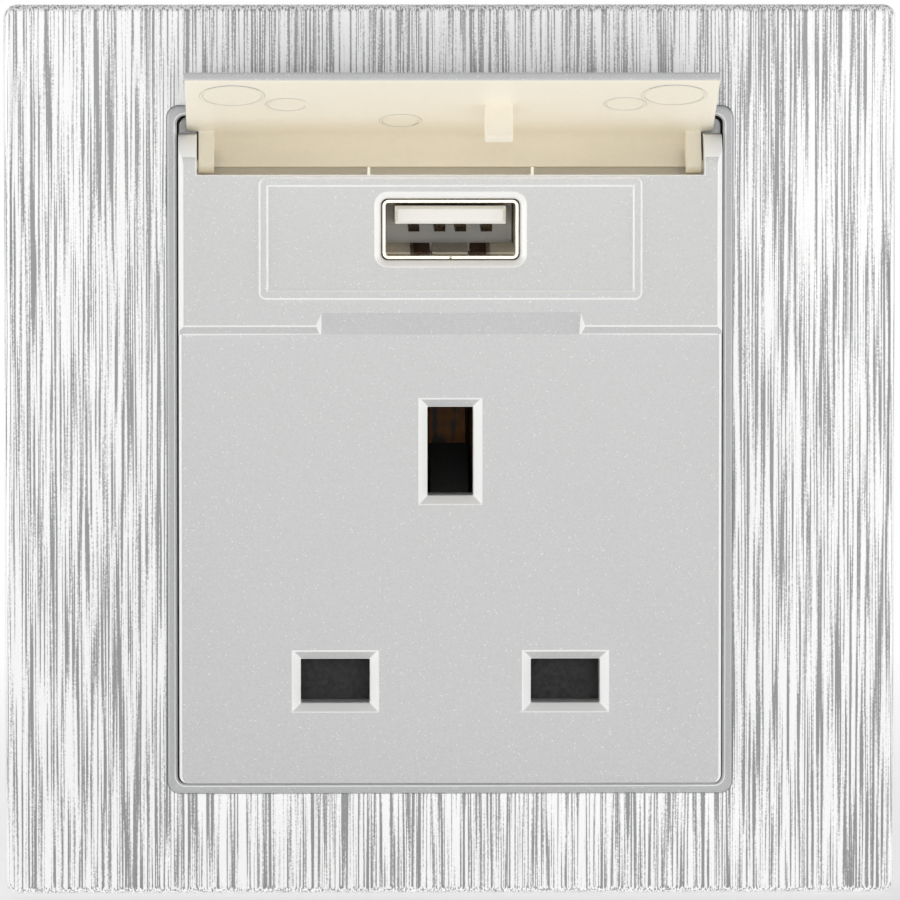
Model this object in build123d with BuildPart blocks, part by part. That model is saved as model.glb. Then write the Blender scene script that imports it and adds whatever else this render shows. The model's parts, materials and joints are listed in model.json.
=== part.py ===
from build123d import *

import os
from math import cos, radians, sin

# USB wall socket, in millimetres. The origin is the centre of the wall plane, +X is to the
# right, +Z is up and the front faces -Y. A height is a distance in front of the wall plane
# and a depth is a distance behind it, in the wall box.

# Plate: a brushed panel on a clip-on frame with a raised bezel
plate_size = 86.0
plate_corner = 1.2
plate_height = 8.5
panel_thickness = 1.2
panel_edge = 0.8
panel_gap = 0.02
frame_inset = 0.15
frame_wall = 1.8
frame_front_wall = 1.6
bezel_rim = 0.95
bezel_proud = 0.5
bezel_slope = 0.35
bezel_inner_edge = 0.2
bezel_corner = 1.2
fit_gap = 0.2

# Module front: flat lower panel, raised plinth round the USB port, hinge slot at the top
module_width = 52.3
module_length = 64.2
module_corner = 0.8
module_edge = 0.4
module_wall = 1.5
face_wall = 2.0
plinth_rise = 0.8
plinth_bottom_z = 12.1
scoop_width = 25.8
scoop_top_z = 13.2
scoop_taper = 40.0

# Flap and its hinge, drawn shut and then swung open about the hinge axis
hinge_z = 27.5
hinge_drop = 0.2
flap_width = 50.8
flap_thickness = 0.9
flap_inner_radius = 3.4
flap_rest_gap = 0.35
flap_length = 15.6
flap_open_angle = 109.0
flap_edge = 0.25
barrel_angle = 75.0
ear_width = 1.75
ear_gap = 0.15
leg_width = 1.5
hub_radius = 0.75
pivot_radius = 0.5
pivot_length = 1.0
pivot_clearance = 0.05
swing_gap = 0.3
slot_lip = 1.0
slot_edge_drop = 0.85
slot_rib_width = 0.4
slot_rib_spacing = 15.7
lug_width = 2.7
lug_length = 1.6
lug_reach = 3.3
lug_x = 4.55
lug_floor_gap = 0.15
ring_rise = 0.12
ring_line = 0.25
large_ring = 3.1
small_ring = 2.05
large_ring_places = [(-20.9, 11.2), (21.2, 11.4)]
small_ring_places = [(-15.7, 8.5), (16.6, 8.7), (-4.8, 3.6)]

# Pin holes of the three-pin socket
pin_spacing = 22.2
earth_hole_width = 4.4
earth_hole_length = 8.55
line_hole_width = 6.65
line_hole_length = 4.25
hole_chamfer = 0.8
tunnel_depth = 5.2
tunnel_wall = 1.0

# USB port
usb_z = 21.4
usb_width = 13.1
usb_height = 5.7
usb_sheet = 0.3
usb_recess = 0.35
usb_shell_length = 14.4
usb_window_chamfer = 0.6
usb_border_width = 36.7
usb_border_length = 11.6
usb_border_line = 0.75
usb_border_rise = 0.2
usb_border_z = 20.55
usb_border_corner = 0.6
tongue_width = 10.7
tongue_thickness = 1.75
tongue_top_gap = 0.3
tongue_recess = 0.9
insulator_length = 4.5
contact_width = 1.05
contact_sheet = 0.22
contact_sag = 0.65
contact_outer_pitch = 7.0
contact_inner_pitch = 2.0
finger_width = 2.2
finger_length = 5.0
finger_cut = 0.35
finger_spacing = 6.2

# Shutter behind the live and neutral holes, moved by the earth pin
shutter_thickness = 2.0
shutter_gap = 0.15
shutter_travel = 5.0
shutter_overlap = 0.57
shutter_leg_width = 1.8
shutter_leg_gap = 4.8
ramp_width = 3.8
ramp_depth = 5.2
ramp_foot_z = -6.5
ramp_bar = 1.6
spring_radius = 0.85
spring_wire = 0.3
spring_turns = 7
spring_seat_z = -17.0
spring_seat_thickness = 1.2
guide_rail_width = 1.0

# Bracket on the wall box
bracket_gap = 0.35
bracket_corner = 2.0
bracket_base = 2.0
bracket_rim = 1.6
bracket_rim_height = 5.2
bracket_window_margin = 2.65
bracket_rib = 1.4
box_screw_spacing = 60.3
box_screw_radius = 2.1
box_screw_boss = 3.8
box_screw_boss_height = 3.0
hook_width = 8.0
hook_thickness = 1.4
hook_height = 3.5
hook_reach = 0.9
hook_spacing = 44.0
notch_width = 7.0
notch_height = 1.4

# Rear housing
housing_width = 48.0
housing_length = 60.0
housing_corner = 2.5
housing_depth = 27.5
housing_wall = 1.8
housing_edge = 1.0
flange_thickness = 1.6
inner_plate_thickness = 1.5
inner_plate_top_z = 14.0
screw_x = 20.0
screw_top_z = 23.3
screw_bottom_z = -26.0
screw_radius = 1.25
screw_hole_clearance = 0.05
screw_head_radius = 2.4
screw_head_height = 1.8
screw_seat_depth = 6.0
boss_radius = 2.6
post_wall = 0.8
access_wall = 1.0
wire_entry_radius = 2.4
wire_entry_flare = 0.8
barrier_width = 1.0
barrier_depth = 10.0

# Brass contacts with pillar terminals
brass_sheet = 0.8
line_pin_width = 6.35
line_pin_thickness = 4.0
line_pin_length = 17.7
earth_pin_width = 8.0
earth_pin_length = 22.7
clip_grip = 0.1
clip_lead_in = 1.2
clip_flare = 0.5
clip_end_gap = 1.4
terminal_size = 8.0
earth_terminal_width = 7.0
terminal_rear_depth = 21.5
terminal_bore_depth = 16.8
terminal_bore = 2.0
terminal_screw_radius = 1.75
terminal_head_radius = 2.7
terminal_head_height = 2.0
driver_slot_width = 0.8
driver_slot_depth = 0.9

# USB supply on its board
board_thickness = 1.6
board_front_height = 1.0
board_rear_gap = 1.2
rail_width = 1.6
rail_height = 1.2
core_width = 12.0
core_height = 8.6
core_thickness = 5.0
core_leg = 1.8
core_middle_leg = 3.6
transformer_depth = 14.5
winding_length = 9.0
winding_gap = 0.15
capacitor_radius = 3.15
capacitor_groove = 0.3
input_capacitor_height = 8.6
output_capacitor_height = 7.6
component_gap = 1.95
front_row_depth = 9.0
middle_row_depth = 16.0
rear_row_depth = 21.6
chip_width = 5.0
chip_length = 4.0
chip_height = 1.5
chip_leg_pitch = 1.27
chip_leg_width = 0.45
chip_leg_reach = 0.9
chip_leg_sheet = 0.25
rectifier_width = 6.0
rectifier_length = 4.2
rectifier_height = 2.4
fuse_radius = 1.4
fuse_length = 6.4
lead_radius = 0.35
lead_reach = 1.6
feed_width = 3.0
feed_sheet = 0.6
feed_depth = 19.5

# Derived heights, depths and places
frame_size = plate_size - 2 * frame_inset
frame_height = plate_height - panel_thickness
frame_inner = frame_size - 2 * frame_wall
bracket_size = frame_inner - 2 * bracket_gap
bezel_height = plate_height + bezel_proud
opening_width = module_width + 2 * fit_gap
opening_length = module_length + 2 * fit_gap
bezel_width = opening_width + 2 * bezel_rim
bezel_length = opening_length + 2 * bezel_rim
hinge_height = bezel_height - hinge_drop
plinth_height = hinge_height + flap_inner_radius - flap_rest_gap
face_height = plinth_height - plinth_rise
plinth_foot_z = plinth_bottom_z - plinth_rise
cavity_height = face_height - face_wall
tunnel_end = face_height - tunnel_depth
flap_outer_radius = flap_inner_radius + flap_thickness
ear_inner_x = module_width / 2 - ear_width
barrel_width = 2 * (ear_inner_x - ear_gap)
slot_floor_z = hinge_z - hub_radius - swing_gap
slot_edge_z = hinge_z - slot_edge_drop
ear_radius = flap_inner_radius - flap_rest_gap
ear_rear = swing_gap - cos(radians(flap_open_angle)) * flap_outer_radius
slot_rear_height = hinge_height - flap_outer_radius - swing_gap
cavity_top_z = slot_floor_z - slot_lip
cavity_bottom_z = -module_length / 2 + module_wall
pin_x = pin_spacing / 2
pin_z = -pin_spacing
usb_front_height = plinth_height - usb_recess
usb_bottom_z = usb_z - usb_height / 2
usb_top_z = usb_z + usb_height / 2
usb_rear_height = usb_front_height - usb_shell_length
insulator_height = usb_rear_height + insulator_length
tongue_top_z = usb_top_z - usb_sheet - tongue_top_gap
tongue_bottom_z = tongue_top_z - tongue_thickness
tongue_front_height = usb_front_height - tongue_recess
shutter_front = tunnel_end - shutter_gap
shutter_rear = shutter_front - shutter_thickness
blade_top_z = pin_z + line_hole_length / 2 + shutter_overlap
blade_bottom_z = pin_z - line_hole_length / 2 - shutter_overlap
bracket_window_width = module_width - 2 * bracket_window_margin
bracket_window_length = module_length - 2 * bracket_window_margin
housing_inner_width = housing_width - 2 * housing_wall
housing_inner_length = housing_length - 2 * housing_wall
housing_floor_depth = housing_depth - housing_wall
board_rear_depth = housing_floor_depth - board_rear_gap
post_radius = screw_head_radius + fit_gap + post_wall
access_radius = terminal_head_radius + 3 * fit_gap
screw_places = [(x, z) for x in (-screw_x, screw_x) for z in (screw_bottom_z, screw_top_z)]
terminal_places = [(-pin_x, pin_z), (0, pin_z), (pin_x, pin_z)]
line_places = [(-pin_x, pin_z), (pin_x, pin_z)]
line_clip_depth = line_pin_length - face_height + clip_end_gap
earth_clip_depth = earth_pin_length - face_height + clip_end_gap
board_top_z = usb_bottom_z
board_bottom_z = board_top_z - board_thickness
board_width = housing_inner_width - 2 * fit_gap
component_x = screw_x - post_radius - capacitor_radius - component_gap
block_top_z = pin_z + terminal_size / 2

# Hinge frame: local x points away from the axis towards the flap, local y up the shut flap
opening = radians(flap_open_angle)
hinge_point = Vector(0, -hinge_height, hinge_z)
flap_out = Vector(0, -cos(opening), sin(opening))
flap_plane = Plane(origin=hinge_point, x_dir=flap_out, z_dir=(-1, 0, 0))
flap_inside = Plane(
    origin=hinge_point + flap_out * flap_inner_radius, x_dir=(1, 0, 0), z_dir=flap_out * -1
)

os.makedirs("parts", exist_ok=True)


def finish(builder, name):
    """Label a finished piece and write its file."""
    builder.part.label = name
    export_step(builder.part, f"parts/{name}.step")


# Brushed panel: a rounded square with a window that fits round the bezel
with BuildPart() as brushed_panel:
    with BuildSketch(Plane.XZ.offset(frame_height)):
        RectangleRounded(plate_size, plate_size, plate_corner)
        RectangleRounded(
            bezel_width + 2 * panel_gap, bezel_length + 2 * panel_gap, bezel_corner, mode=Mode.SUBTRACT
        )
    extrude(amount=panel_thickness)
    front_face = brushed_panel.faces().sort_by(Axis.Y)[0]
    fillet(front_face.outer_wire().edges(), panel_edge)
finish(brushed_panel, "brushed_panel")

# Front frame: a shell with the bezel, four snap hooks inside and a prising notch below
with BuildPart() as front_frame:
    with BuildSketch(Plane.XZ):
        RectangleRounded(frame_size, frame_size, plate_corner)
    extrude(amount=frame_height)
    with BuildSketch(Plane.XZ):
        RectangleRounded(frame_inner, frame_inner, plate_corner)
    extrude(amount=frame_height - frame_front_wall, mode=Mode.SUBTRACT)
    with BuildSketch(Plane.XZ.offset(frame_height - frame_front_wall)):
        RectangleRounded(bezel_width, bezel_length, bezel_corner)
    extrude(amount=bezel_height - frame_height + frame_front_wall)
    bezel_face = front_frame.faces().sort_by(Axis.Y)[0]
    fillet(bezel_face.outer_wire().edges(), bezel_slope)
    with BuildSketch(Plane.XZ):
        RectangleRounded(opening_width, opening_length, module_corner)
    extrude(amount=bezel_height, mode=Mode.SUBTRACT)
    bezel_face = front_frame.faces().sort_by(Axis.Y)[0]
    chamfer(bezel_face.inner_wires()[0].edges(), bezel_inner_edge)
    with BuildSketch(Plane.XZ.offset(hook_height - hook_thickness / 2)):
        with GridLocations(hook_spacing, frame_inner - hook_reach, 2, 2):
            Rectangle(hook_width, hook_reach)
    extrude(amount=hook_thickness)
    with BuildSketch(Plane.XZ):
        with Locations((0, -frame_size / 2)):
            Rectangle(notch_width, 4 * frame_wall)
    extrude(amount=notch_height, mode=Mode.SUBTRACT)
finish(front_frame, "front_frame")

# Bracket: a tray with box-screw bosses, snap windows for the hooks and stiffening ribs
with BuildPart() as mounting_plate:
    with BuildSketch(Plane.XZ):
        RectangleRounded(bracket_size, bracket_size, bracket_corner)
    extrude(amount=bracket_rim_height)
    with BuildSketch(Plane.XZ.offset(bracket_base)):
        tray_size = bracket_size - 2 * bracket_rim
        RectangleRounded(tray_size, tray_size, bracket_corner)
    extrude(amount=bracket_rim_height - bracket_base, mode=Mode.SUBTRACT)
    with BuildSketch(Plane.XZ.offset(bracket_base)):
        with GridLocations(hook_spacing, bracket_size / 2 + module_length / 2, 2, 2):
            Rectangle(bracket_rib, bracket_size / 2 - module_length / 2 - 2 * bracket_rim)
        with GridLocations(bracket_size / 2 + module_width / 2, hook_spacing, 2, 2):
            Rectangle(bracket_size / 2 - module_width / 2 - 2 * bracket_rim, bracket_rib)
    extrude(amount=hook_height - hook_thickness - bracket_base + fit_gap)
    with BuildSketch(Plane.XZ):
        with GridLocations(box_screw_spacing, 1, 2, 1):
            Circle(box_screw_boss)
    extrude(amount=box_screw_boss_height)
    with BuildSketch(Plane.XZ):
        RectangleRounded(bracket_window_width, bracket_window_length, housing_corner)
        with GridLocations(box_screw_spacing, 1, 2, 1):
            Circle(box_screw_radius)
    extrude(amount=bracket_rim_height, mode=Mode.SUBTRACT)
    with BuildSketch(Plane.XZ.offset(hook_height - hook_thickness / 2 - fit_gap)):
        with GridLocations(hook_spacing, bracket_size, 2, 2):
            Rectangle(hook_width + 4 * fit_gap, 4 * bracket_rim)
    extrude(amount=hook_thickness + 2 * fit_gap, mode=Mode.SUBTRACT)
finish(mounting_plate, "mounting_plate")

# Module front: a shell with the plinth, the pin tunnels, the hinge ears and the hinge slot
module_top_z = module_length / 2
with BuildPart() as socket_face:
    with BuildSketch(Plane.XZ.offset(bracket_base)):
        RectangleRounded(module_width, module_length, module_corner)
    extrude(amount=face_height - bracket_base)
    fillet(socket_face.faces().sort_by(Axis.Y)[0].outer_wire().edges(), module_edge)
    with BuildSketch(Plane.YZ):
        with BuildLine():
            Polyline(
                (-cavity_height, plinth_foot_z),
                (-face_height, plinth_foot_z),
                (-plinth_height, plinth_bottom_z),
                (-plinth_height, module_top_z),
                (-cavity_height, module_top_z),
                close=True,
            )
        make_face()
    extrude(amount=module_width / 2, both=True)
    plinth_face = socket_face.faces().sort_by(Axis.Y)[0]
    chamfer(plinth_face.edges().filter_by(Axis.Z), plinth_rise / 2)
    with BuildSketch(Plane.XZ.offset(bracket_base)):
        with Locations((0, (cavity_top_z + cavity_bottom_z) / 2)):
            Rectangle(module_width - 2 * module_wall, cavity_top_z - cavity_bottom_z)
    extrude(amount=cavity_height - bracket_base, mode=Mode.SUBTRACT)
    with BuildSketch(Plane.XZ.offset(cavity_height)):
        with Locations((0, (cavity_top_z + plinth_bottom_z + face_wall) / 2)):
            Rectangle(module_width - 2 * module_wall, cavity_top_z - plinth_bottom_z - face_wall)
    extrude(amount=plinth_rise, mode=Mode.SUBTRACT)

    # Finger scoop under the edge of the shut flap
    scoop_slope = Vector(0, plinth_foot_z - scoop_top_z, face_height - plinth_height)
    scoop_length = scoop_slope.length
    scoop_plane = Plane(
        origin=(0, -plinth_height, scoop_top_z),
        x_dir=(1, 0, 0),
        z_dir=scoop_slope,
    )
    with BuildSketch(scoop_plane):
        with Locations((0, -scoop_length / 2)):
            Rectangle(scoop_width - plinth_rise, scoop_length)
    extrude(amount=2 * plinth_rise, taper=-scoop_taper, mode=Mode.SUBTRACT)

    # Hinge slot between the ears, and ears rounded about the hinge axis
    with BuildSketch(Plane.YZ):
        with Locations((-slot_rear_height, slot_floor_z)):
            Rectangle(
                plinth_height - slot_lip - slot_rear_height,
                module_length,
                align=(Align.MAX, Align.MIN),
            )
        with Locations((-slot_rear_height, slot_edge_z)):
            Rectangle(2 * plinth_height, module_length, align=(Align.MAX, Align.MIN))
    extrude(amount=ear_inner_x, both=True, mode=Mode.SUBTRACT)
    with BuildSketch(Plane.YZ):
        with Locations((ear_rear - hinge_height, hinge_z)):
            Rectangle(2 * plinth_height, module_length, align=(Align.MAX, Align.MIN))
            Rectangle(
                ear_rear, ear_radius, align=(Align.MAX, Align.MIN), mode=Mode.SUBTRACT
            )
        with Locations((-hinge_height, hinge_z)):
            Circle(ear_radius, mode=Mode.SUBTRACT)
    extrude(amount=module_width, both=True, mode=Mode.SUBTRACT)
    for side in (-1, 1):
        with BuildSketch(Plane.YZ.offset(side * (ear_inner_x - ear_gap))):
            with Locations((-hinge_height, hinge_z)):
                Circle(pivot_radius + pivot_clearance)
        extrude(amount=side * (pivot_length + fit_gap), mode=Mode.SUBTRACT)
        with BuildSketch(Plane.YZ.offset(side * slot_rib_spacing / 2)):
            with Locations((-slot_rear_height, slot_floor_z)):
                Rectangle(
                    plinth_height - slot_rear_height - slot_lip / 2,
                    slot_edge_z - slot_floor_z,
                    align=(Align.MAX, Align.MIN),
                )
        extrude(amount=slot_rib_width / 2, both=True)

    # Pin tunnels, screw bosses, spring seat and guide rails behind the front wall
    with BuildSketch(Plane.XZ.offset(tunnel_end)):
        Rectangle(earth_hole_width + 2 * tunnel_wall, earth_hole_length + 2 * tunnel_wall)
        with Locations(*line_places):
            Rectangle(line_hole_width + 2 * tunnel_wall, line_hole_length + 2 * tunnel_wall)
    extrude(amount=cavity_height - tunnel_end)
    with BuildSketch(Plane.XZ.offset(shutter_rear)):
        with Locations((0, spring_seat_z)):
            Rectangle(
                shutter_leg_gap - 4 * fit_gap,
                spring_seat_thickness,
                align=(Align.CENTER, Align.MAX),
            )
        rail_x = shutter_leg_gap / 2 + shutter_leg_width + fit_gap + guide_rail_width / 2
        with Locations(*((side * rail_x, spring_seat_z) for side in (-1, 1))):
            Rectangle(
                guide_rail_width,
                ramp_foot_z - shutter_travel - spring_seat_z,
                align=(Align.CENTER, Align.MIN),
            )
    extrude(amount=cavity_height - shutter_rear)
    with BuildSketch(Plane.XZ):
        with Locations(*screw_places):
            Circle(boss_radius)
    extrude(amount=cavity_height + plinth_rise)
    with BuildSketch(Plane.XZ):
        with Locations(*screw_places):
            Circle(screw_radius + screw_hole_clearance)
    extrude(amount=cavity_height, mode=Mode.SUBTRACT)

    # Low border round the USB port, then the openings with their bevelled rims
    with BuildSketch(Plane.XZ.offset(plinth_height)):
        with Locations((0, usb_border_z)):
            RectangleRounded(usb_border_width, usb_border_length, usb_border_corner)
            Rectangle(
                usb_border_width - 2 * usb_border_line,
                usb_border_length - 2 * usb_border_line,
                mode=Mode.SUBTRACT,
            )
    extrude(amount=usb_border_rise)
    with BuildSketch(Plane.XZ.offset(tunnel_end)):
        Rectangle(earth_hole_width, earth_hole_length)
        with Locations(*line_places):
            Rectangle(line_hole_width, line_hole_length)
    extrude(amount=tunnel_depth, mode=Mode.SUBTRACT)
    rims = socket_face.edges().filter_by_position(Axis.Y, -face_height, -face_height)
    holes = rims.filter_by_position(Axis.Z, pin_z - earth_hole_length, earth_hole_length)
    chamfer(holes.filter_by_position(Axis.X, -module_width / 3, module_width / 3), hole_chamfer)
    with BuildSketch(Plane.XZ.offset(tunnel_end)):
        with Locations((0, usb_z)):
            RectangleRounded(usb_width + fit_gap, usb_height + fit_gap, usb_border_corner)
    extrude(amount=plinth_height, mode=Mode.SUBTRACT)
    rims = socket_face.edges().filter_by_position(Axis.Y, -plinth_height, -plinth_height)
    rims = rims.filter_by_position(Axis.Z, usb_z - usb_height, usb_z + usb_height)
    window = rims.filter_by_position(Axis.X, -usb_width, usb_width)
    chamfer(window.filter_by(lambda e: e.length < usb_width + 1), usb_window_chamfer)
finish(socket_face, "socket_face")

# Flap: plate, hinge barrel, legs with pivots, and moulding marks on its inside
with BuildPart() as usb_flap:
    with BuildSketch(flap_plane):
        with BuildLine():
            inner = CenterArc((0, 0), flap_inner_radius, 0, barrel_angle)
            outer = CenterArc((0, 0), flap_outer_radius, 0, barrel_angle)
            Line(inner @ 0, outer @ 0)
            Line(inner @ 1, outer @ 1)
        make_face()
    extrude(amount=barrel_width / 2, both=True)
    with BuildSketch(flap_plane):
        with Locations((flap_inner_radius, 0)):
            Rectangle(flap_thickness, flap_length, align=(Align.MIN, Align.MAX))
    extrude(amount=flap_width / 2, both=True)
    free_end = usb_flap.faces().sort_by(Axis.Y)[0]
    fillet(free_end.edges().filter_by(Axis.X), flap_edge)
    for side in (-1, 1):
        with BuildSketch(flap_plane.offset(side * barrel_width / 2)):
            with BuildLine():
                Polyline(
                    (0, -hub_radius),
                    (flap_inner_radius + flap_edge, -flap_edge),
                    (flap_inner_radius + flap_edge, flap_edge),
                    ((flap_inner_radius + flap_edge) * sin(radians(45)),) * 2,
                    (0, hub_radius),
                    close=True,
                )
            make_face()
            Circle(hub_radius)
        extrude(amount=-side * leg_width)
        with BuildSketch(flap_plane.offset(side * barrel_width / 2)):
            Circle(pivot_radius)
        extrude(amount=side * pivot_length)
    lug_z = usb_bottom_z + usb_sheet + lug_floor_gap + lug_length / 2
    with BuildSketch(flap_inside):
        with Locations((lug_x, hinge_z - lug_z)):
            Rectangle(lug_width, lug_length)
    extrude(amount=lug_reach)
    with BuildSketch(flap_inside):
        for radius, places in ((large_ring, large_ring_places), (small_ring, small_ring_places)):
            with Locations(*places):
                Circle(radius)
                Circle(radius - ring_line, mode=Mode.SUBTRACT)
    extrude(amount=ring_rise)
finish(usb_flap, "usb_flap")

# USB port: a folded shell with a seam and two spring fingers below, insulator and contacts
with BuildPart() as usb_shell:
    with BuildSketch(Plane.XZ.offset(usb_rear_height)):
        with Locations((0, usb_z)):
            RectangleRounded(usb_width, usb_height, 2 * usb_sheet)
            RectangleRounded(
                usb_width - 2 * usb_sheet, usb_height - 2 * usb_sheet, usb_sheet, mode=Mode.SUBTRACT
            )
    extrude(amount=usb_shell_length)
    finger_y = -(insulator_height + finger_cut + finger_length / 2)
    with BuildSketch(Plane.XY.offset(usb_bottom_z - usb_sheet)):
        with Locations((0, -usb_front_height)):
            Rectangle(usb_sheet / 2, usb_recess + tongue_recess, align=(Align.CENTER, Align.MIN))
        with GridLocations(finger_spacing, 1, 2, 1):
            with Locations((0, finger_y)):
                Rectangle(finger_width + 2 * finger_cut, finger_length + 2 * finger_cut)
            with Locations((0, finger_y + finger_cut)):
                Rectangle(finger_width, finger_length + finger_cut, mode=Mode.SUBTRACT)
    extrude(amount=3 * usb_sheet, mode=Mode.SUBTRACT)
finish(usb_shell, "usb_shell")

with BuildPart() as usb_tongue:
    with BuildSketch(Plane.XZ.offset(usb_rear_height)):
        with Locations((0, usb_z)):
            Rectangle(
                usb_width - 2 * usb_sheet - fit_gap, usb_height - 2 * usb_sheet - fit_gap
            )
    extrude(amount=insulator_length)
    with BuildSketch(Plane.XZ.offset(insulator_height)):
        with Locations((0, tongue_top_z)):
            Rectangle(tongue_width, tongue_thickness, align=(Align.CENTER, Align.MAX))
    extrude(amount=tongue_front_height - insulator_height)
    chamfer(usb_tongue.faces().sort_by(Axis.Y)[0].edges(), usb_sheet)
finish(usb_tongue, "usb_tongue")

contact_places = [
    side * pitch / 2 for pitch in (contact_outer_pitch, contact_inner_pitch) for side in (-1, 1)
]
with BuildPart() as usb_contacts:
    contact_tip = tongue_front_height - usb_sheet
    for x in contact_places:
        with BuildSketch(Plane.YZ.offset(x)):
            with BuildLine():
                Polyline(
                    (-insulator_height, tongue_bottom_z),
                    (-insulator_height, tongue_bottom_z - contact_sheet),
                    (-contact_tip + 3 * contact_sag, tongue_bottom_z - contact_sag),
                    (-contact_tip + contact_sag, tongue_bottom_z - contact_sag),
                    (-contact_tip, tongue_bottom_z - contact_sheet),
                    (-contact_tip, tongue_bottom_z),
                    close=True,
                )
            make_face()
        extrude(amount=contact_width / 2, both=True)
finish(usb_contacts, "usb_contacts")

# Shutter: blades on a crossbar, two legs and the ramp that the earth pin pushes down
ramp_rear = shutter_front - ramp_depth
ramp_start_z = ramp_foot_z + ramp_bar
with BuildPart() as shutter:
    leg_outer = shutter_leg_gap + 2 * shutter_leg_width
    with BuildSketch(Plane.XZ.offset(shutter_rear)):
        with Locations((0, blade_bottom_z)):
            Rectangle(leg_outer, ramp_start_z - blade_bottom_z, align=(Align.CENTER, Align.MIN))
        with Locations((0, blade_top_z)):
            Rectangle(
                shutter_leg_gap,
                ramp_foot_z - blade_top_z,
                align=(Align.CENTER, Align.MIN),
                mode=Mode.SUBTRACT,
            )
            Rectangle(
                pin_spacing + line_hole_width + 2 * shutter_overlap,
                blade_top_z - blade_bottom_z,
                align=(Align.CENTER, Align.MAX),
            )
    extrude(amount=shutter_thickness)
    with BuildSketch(Plane.YZ):
        with BuildLine():
            Polyline(
                (-shutter_front, ramp_foot_z),
                (-shutter_front, ramp_start_z),
                (-ramp_rear, ramp_start_z + ramp_depth),
                (-ramp_rear, ramp_start_z + ramp_depth - ramp_bar),
                (-shutter_rear, ramp_foot_z),
                close=True,
            )
        make_face()
    extrude(amount=ramp_width / 2, both=True)
finish(shutter, "shutter")

# Shutter spring: a coil between the ramp's foot and the seat on the module front
spring_height = (shutter_front + shutter_rear) / 2
spring_low_z = spring_seat_z + spring_wire / 2
spring_length = ramp_foot_z - spring_seat_z - spring_wire
with BuildPart() as shutter_spring:
    with BuildLine(Plane.XY.offset(spring_low_z).move(Location((0, -spring_height, 0)))):
        coil = Helix(spring_length / spring_turns, spring_length, spring_radius)
    with BuildSketch(Plane(origin=coil @ 0, z_dir=coil % 0)):
        Circle(spring_wire / 2)
    sweep(path=coil, is_frenet=True)
finish(shutter_spring, "shutter_spring")

# Inner plate: closes the shutter in and stands on the bracket
inner_plate_bottom_z = cavity_bottom_z + fit_gap
with BuildPart() as inner_plate:
    with BuildSketch(Plane.XZ.offset(bracket_base)):
        with Locations((0, inner_plate_bottom_z)):
            Rectangle(
                module_width - 2 * module_wall - 2 * fit_gap,
                inner_plate_top_z - inner_plate_bottom_z,
                align=(Align.CENTER, Align.MIN),
            )
        with Locations((0, earth_hole_length / 2 + fit_gap)):
            Rectangle(
                earth_hole_width + 2 * fit_gap,
                earth_hole_length / 2 + shutter_travel - ramp_foot_z + 2 * fit_gap,
                align=(Align.CENTER, Align.MAX),
                mode=Mode.SUBTRACT,
            )
        with Locations(*line_places):
            Rectangle(
                line_hole_width + 2 * fit_gap, line_hole_length + 2 * fit_gap, mode=Mode.SUBTRACT
            )
        with Locations(*screw_places):
            Circle(boss_radius + fit_gap, mode=Mode.SUBTRACT)
    extrude(amount=inner_plate_thickness)
finish(inner_plate, "inner_plate")


def clip_leaves(front, rear, gap):
    """Face of two flared leaves and their back wall, in the current sketch, mouth towards -x."""
    for side in (-1, 1):
        near = side * gap / 2
        far = near + side * brass_sheet
        Polygon(
            (-front, near + side * clip_flare),
            (-front + clip_lead_in, near),
            (rear, near),
            (rear, far),
            (-front + clip_lead_in, far),
            (-front, far + side * clip_flare),
            align=None,
        )
    with Locations((rear, 0)):
        Rectangle(brass_sheet, gap + 2 * brass_sheet, align=(Align.MAX, Align.CENTER))


def terminal_holes(x):
    """Wire bore from below and screw hole from behind, cut in the current part."""
    screw_hole_length = terminal_rear_depth - terminal_bore_depth
    with Locations((x, terminal_bore_depth, pin_z)):
        Cylinder(terminal_bore, 2 * terminal_size, mode=Mode.SUBTRACT)
    with Locations((x, terminal_bore_depth + screw_hole_length / 2, pin_z)):
        Cylinder(
            terminal_screw_radius + screw_hole_clearance,
            screw_hole_length,
            rotation=(90, 0, 0),
            mode=Mode.SUBTRACT,
        )


# Live and neutral contacts: a clip with leaves above and below the pin, and a pillar terminal
line_grip = line_pin_thickness - 2 * clip_grip
for contact_name, contact_x in (("neutral_contact", -pin_x), ("live_contact", pin_x)):
    with BuildPart() as line_contact:
        with BuildSketch(Plane(origin=(contact_x, 0, pin_z), x_dir=(0, 1, 0), z_dir=(1, 0, 0))):
            clip_leaves(bracket_base - fit_gap, line_clip_depth, line_grip)
        extrude(amount=line_pin_width / 2, both=True)
        with BuildSketch(Plane.XZ.offset(-line_clip_depth)):
            with Locations((contact_x, pin_z)):
                Rectangle(terminal_size, terminal_size)
        extrude(amount=line_clip_depth - terminal_rear_depth)
        terminal_holes(contact_x)
    finish(line_contact, contact_name)

# Earth contact: a clip with leaves beside the pin, and a strap down to its own terminal
with BuildPart() as earth_contact:
    clip_length = earth_pin_width - brass_sheet
    with BuildSketch(
        Plane(origin=(0, 0, -clip_length / 2), x_dir=(0, 1, 0), z_dir=(0, 0, 1))
    ):
        clip_leaves(ramp_rear - fit_gap, earth_clip_depth, line_grip)
    extrude(amount=clip_length)
    with BuildSketch(Plane.XZ.offset(-earth_clip_depth)):
        with Locations((0, block_top_z)):
            Rectangle(line_grip, -block_top_z, align=(Align.CENTER, Align.MIN))
            Rectangle(earth_terminal_width, terminal_size, align=(Align.CENTER, Align.MAX))
    extrude(amount=brass_sheet)
    with BuildSketch(Plane.XZ.offset(-earth_clip_depth)):
        with Locations((0, pin_z)):
            Rectangle(earth_terminal_width, terminal_size)
    extrude(amount=earth_clip_depth - terminal_rear_depth)
    terminal_holes(0)
finish(earth_contact, "earth_contact")

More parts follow.
